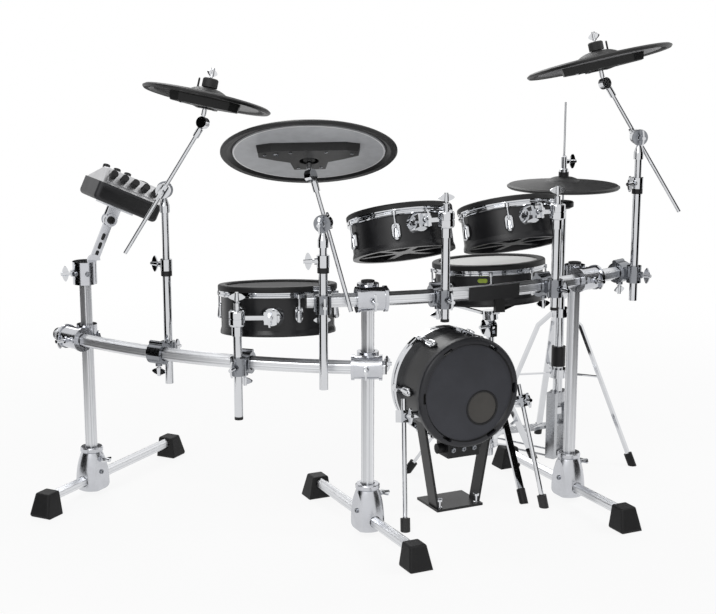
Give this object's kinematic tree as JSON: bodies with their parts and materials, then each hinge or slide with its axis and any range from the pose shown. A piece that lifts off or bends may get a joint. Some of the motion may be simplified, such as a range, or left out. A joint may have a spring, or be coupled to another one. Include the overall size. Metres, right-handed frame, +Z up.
{
  "type": "electronic drum kit",
  "caption": "Electronic drum kit: pads and cymbal pads on booms clamped to a bowed hexagonal tube rack, with a snare stand, a hi-hat stand with pedal, a kick pad and a sound module.",
  "frame": {"origin": "on the floor, at the middle of the kit's footprint box", "axes": "+X along the front bar to the player's left, +Y towards the player, +Z up"},
  "size_m": [1.739, 1.205, 1.2787],
  "materials": {
    "satin_aluminium": "satin",
    "polished_casting": "polished",
    "grey_casting": "polished",
    "chrome": "polished",
    "grey_metal": "satin",
    "black_metal": "satin",
    "black_shell": "satin paint",
    "black_plastic": "satin",
    "grey_plastic": "satin",
    "black_rubber": "matte",
    "pad_rubber": "satin",
    "head_rubber": "matte"
  },
  "bodies": {
    "rack": {"rack_posts": "satin_aluminium", "front_bar": "satin_aluminium", "side_bar": "satin_aluminium", "leg_tubes": "satin_aluminium", "leg_castings": "polished_casting", "rubber_feet": "black_rubber", "cross_clamps": "polished_casting", "accessory_clamps": "grey_casting", "wing_bolts": "chrome", "plastic_trim": "black_plastic", "cymbal_masts": "chrome", "tom_posts": "chrome", "module_arm": "polished_casting", "snare_stand": "chrome", "hihat_stand": "chrome", "hihat_frame": "grey_metal", "kick_cover": "black_plastic", "kick_frame": "black_metal", "kick_hardware": "chrome", "kick_hoop": "chrome", "kick_head": "head_rubber", "kick_jack_box": "black_plastic", "kick_shell": "black_shell"},
    "crash_left_riser": {"crash_left_riser": "chrome"},
    "crash_left_boom": {"crash_left_boom": "chrome"},
    "crash_left_stem": {"crash_left_stem": "chrome"},
    "crash_left_pad": {"crash_left_pad": "pad_rubber"},
    "ride_riser": {"ride_riser": "chrome"},
    "ride_boom": {"ride_boom": "chrome"},
    "ride_stem": {"ride_stem": "chrome"},
    "ride_pad": {"ride_pad": "pad_rubber"},
    "crash_right_riser": {"crash_right_riser": "chrome"},
    "crash_right_boom": {"crash_right_boom": "chrome"},
    "crash_right_stem": {"crash_right_stem": "chrome"},
    "crash_right_pad": {"crash_right_pad": "pad_rubber"},
    "floor_tom": {"floor_tom_shell": "black_shell", "floor_tom_hardware": "chrome", "floor_tom_head": "head_rubber"},
    "tom_left": {"tom_left_shell": "black_shell", "tom_left_hardware": "chrome", "tom_left_head": "head_rubber"},
    "tom_right": {"tom_right_shell": "black_shell", "tom_right_hardware": "chrome", "tom_right_head": "head_rubber"},
    "snare_riser": {"snare_riser": "chrome"},
    "snare": {"snare_basket": "chrome", "snare_grips": "black_rubber", "snare_shell": "black_shell", "snare_hardware": "chrome", "snare_head": "head_rubber"},
    "hihat_footboard": {"hihat_footboard": "grey_metal"},
    "hihat_rod": {"hihat_rod": "chrome", "hihat_pad": "pad_rubber"},
    "kick_spur_left": {"kick_spur_left": "chrome"},
    "kick_spur_right": {"kick_spur_right": "chrome"},
    "module": {"module_bracket": "polished_casting", "module_housing": "black_plastic", "module_panel": "grey_plastic", "module_knobs": "black_plastic"},
    "module_dial": {"module_dial": "black_plastic"}
  },
  "joints": [
    {"name": "crash_left_height", "type": "slide", "parent": "rack", "child": "crash_left_riser", "axis": [0, 0, 1], "range_m": [-0.04, 0.1]},
    {"name": "crash_left_boom_tilt", "type": "hinge", "parent": "crash_left_riser", "child": "crash_left_boom", "pos_m": [-0.51398, 0.06182, 0.879], "axis": [-0.471, -0.8821, 0], "range_deg": [-6, 12]},
    {"name": "crash_left_stem_tilt", "type": "hinge", "parent": "crash_left_boom", "child": "crash_left_stem", "pos_m": [-0.43517, -0.01682, 1.05559], "axis": [-0.7619, -0.5989, 0.2465], "range_deg": [-12, 15]},
    {"name": "crash_left_pad_swing", "type": "hinge", "parent": "crash_left_stem", "child": "crash_left_pad", "pos_m": [-0.41645, -0.0125, 1.12394], "axis": [-0.7619, -0.5989, 0.2465], "range_deg": [-5, 5], "stiffness_Nm_per_rad": 12},
    {"name": "ride_height", "type": "slide", "parent": "rack", "child": "ride_riser", "axis": [0, 0, 1], "range_m": [-0.012, 0.1]},
    {"name": "ride_boom_tilt", "type": "hinge", "parent": "ride_riser", "child": "ride_boom", "pos_m": [-0.24885, -0.34787, 0.829], "axis": [0.6468, 0.7627, 0], "range_deg": [-6, 4]},
    {"name": "ride_stem_tilt", "type": "hinge", "parent": "ride_boom", "child": "ride_stem", "pos_m": [-0.26336, -0.30041, 0.94025], "axis": [-0.5021, 0.8224, -0.2675], "range_deg": [-12, 15]},
    {"name": "ride_pad_swing", "type": "hinge", "parent": "ride_stem", "child": "ride_pad", "pos_m": [-0.25142, -0.27227, 1.00433], "axis": [-0.5021, 0.8224, -0.2675], "range_deg": [-5, 5], "stiffness_Nm_per_rad": 12},
    {"name": "crash_right_height", "type": "slide", "parent": "rack", "child": "crash_right_riser", "axis": [0, 0, 1], "range_m": [-0.04, 0.1]},
    {"name": "crash_right_boom_tilt", "type": "hinge", "parent": "crash_right_riser", "child": "crash_right_boom", "pos_m": [0.68322, -0.33898, 1.001], "axis": [0.309, 0.9511, 0], "range_deg": [-12, 12]},
    {"name": "crash_right_stem_tilt", "type": "hinge", "parent": "crash_right_boom", "child": "crash_right_stem", "pos_m": [0.60467, -0.27936, 1.14208], "axis": [-0.0596, 0.9727, -0.2241], "range_deg": [-12, 15]},
    {"name": "crash_right_pad_swing", "type": "hinge", "parent": "crash_right_stem", "child": "crash_right_pad", "pos_m": [0.59479, -0.26415, 1.21072], "axis": [-0.0596, 0.9727, -0.2241], "range_deg": [-5, 5], "stiffness_Nm_per_rad": 12},
    {"name": "floor_tom_tilt", "type": "hinge", "parent": "rack", "child": "floor_tom", "pos_m": [-0.41293, -0.18601, 0.579], "axis": [0.8828, -0.4694, 0.0166], "range_deg": [-10, 5]},
    {"name": "tom_left_tilt", "type": "hinge", "parent": "rack", "child": "tom_left", "pos_m": [0.05215, -0.41808, 0.83], "axis": [-0.9932, 0.1149, -0.021], "range_deg": [-10, 5]},
    {"name": "tom_right_tilt", "type": "hinge", "parent": "rack", "child": "tom_right", "pos_m": [0.37817, -0.41564, 0.83], "axis": [-0.9932, 0.1149, -0.021], "range_deg": [-10, 5]},
    {"name": "snare_height", "type": "slide", "parent": "rack", "child": "snare_riser", "axis": [0, 0, 1], "range_m": [-0.05, 0.01]},
    {"name": "snare_tilt", "type": "hinge", "parent": "snare_riser", "child": "snare", "pos_m": [0.41015, -0.04302, 0.452], "axis": [-0.9877, -0.1564, 0], "range_deg": [-5, 5]},
    {"name": "hihat_pedal", "type": "hinge", "parent": "rack", "child": "hihat_footboard", "pos_m": [0.59268, 0.27248, 0.026], "axis": [0.8988, 0.4384, 0], "range_deg": [0, 4.55]},
    {"name": "hihat_rod_slide", "type": "slide", "parent": "rack", "child": "hihat_rod", "axis": [0, 0, -1], "range_m": [0, 0.02], "stiffness_N_per_m": 1500, "springref_m": -0.0204},
    {"name": "kick_spur_left_slide", "type": "slide", "parent": "rack", "child": "kick_spur_left", "axis": [0.1069, 0.2506, 0.9622], "range_m": [0, 0.05]},
    {"name": "kick_spur_right_slide", "type": "slide", "parent": "rack", "child": "kick_spur_right", "axis": [-0.1069, 0.2506, 0.9622], "range_m": [0, 0.05]},
    {"name": "module_tilt", "type": "hinge", "parent": "rack", "child": "module", "pos_m": [-0.58912, 0.32122, 0.77296], "axis": [0, 1, 0], "range_deg": [-20, 20]},
    {"name": "dial_turn", "type": "hinge", "parent": "module", "child": "module_dial", "pos_m": [-0.48932, 0.35092, 0.84973], "axis": [0.3878, 0.3973, 0.8317], "continuous": true}
  ],
  "couplings": [
    {"joint": "hihat_pedal", "follows": "hihat_rod_slide", "rad_per_m": 3.9683}
  ]
}
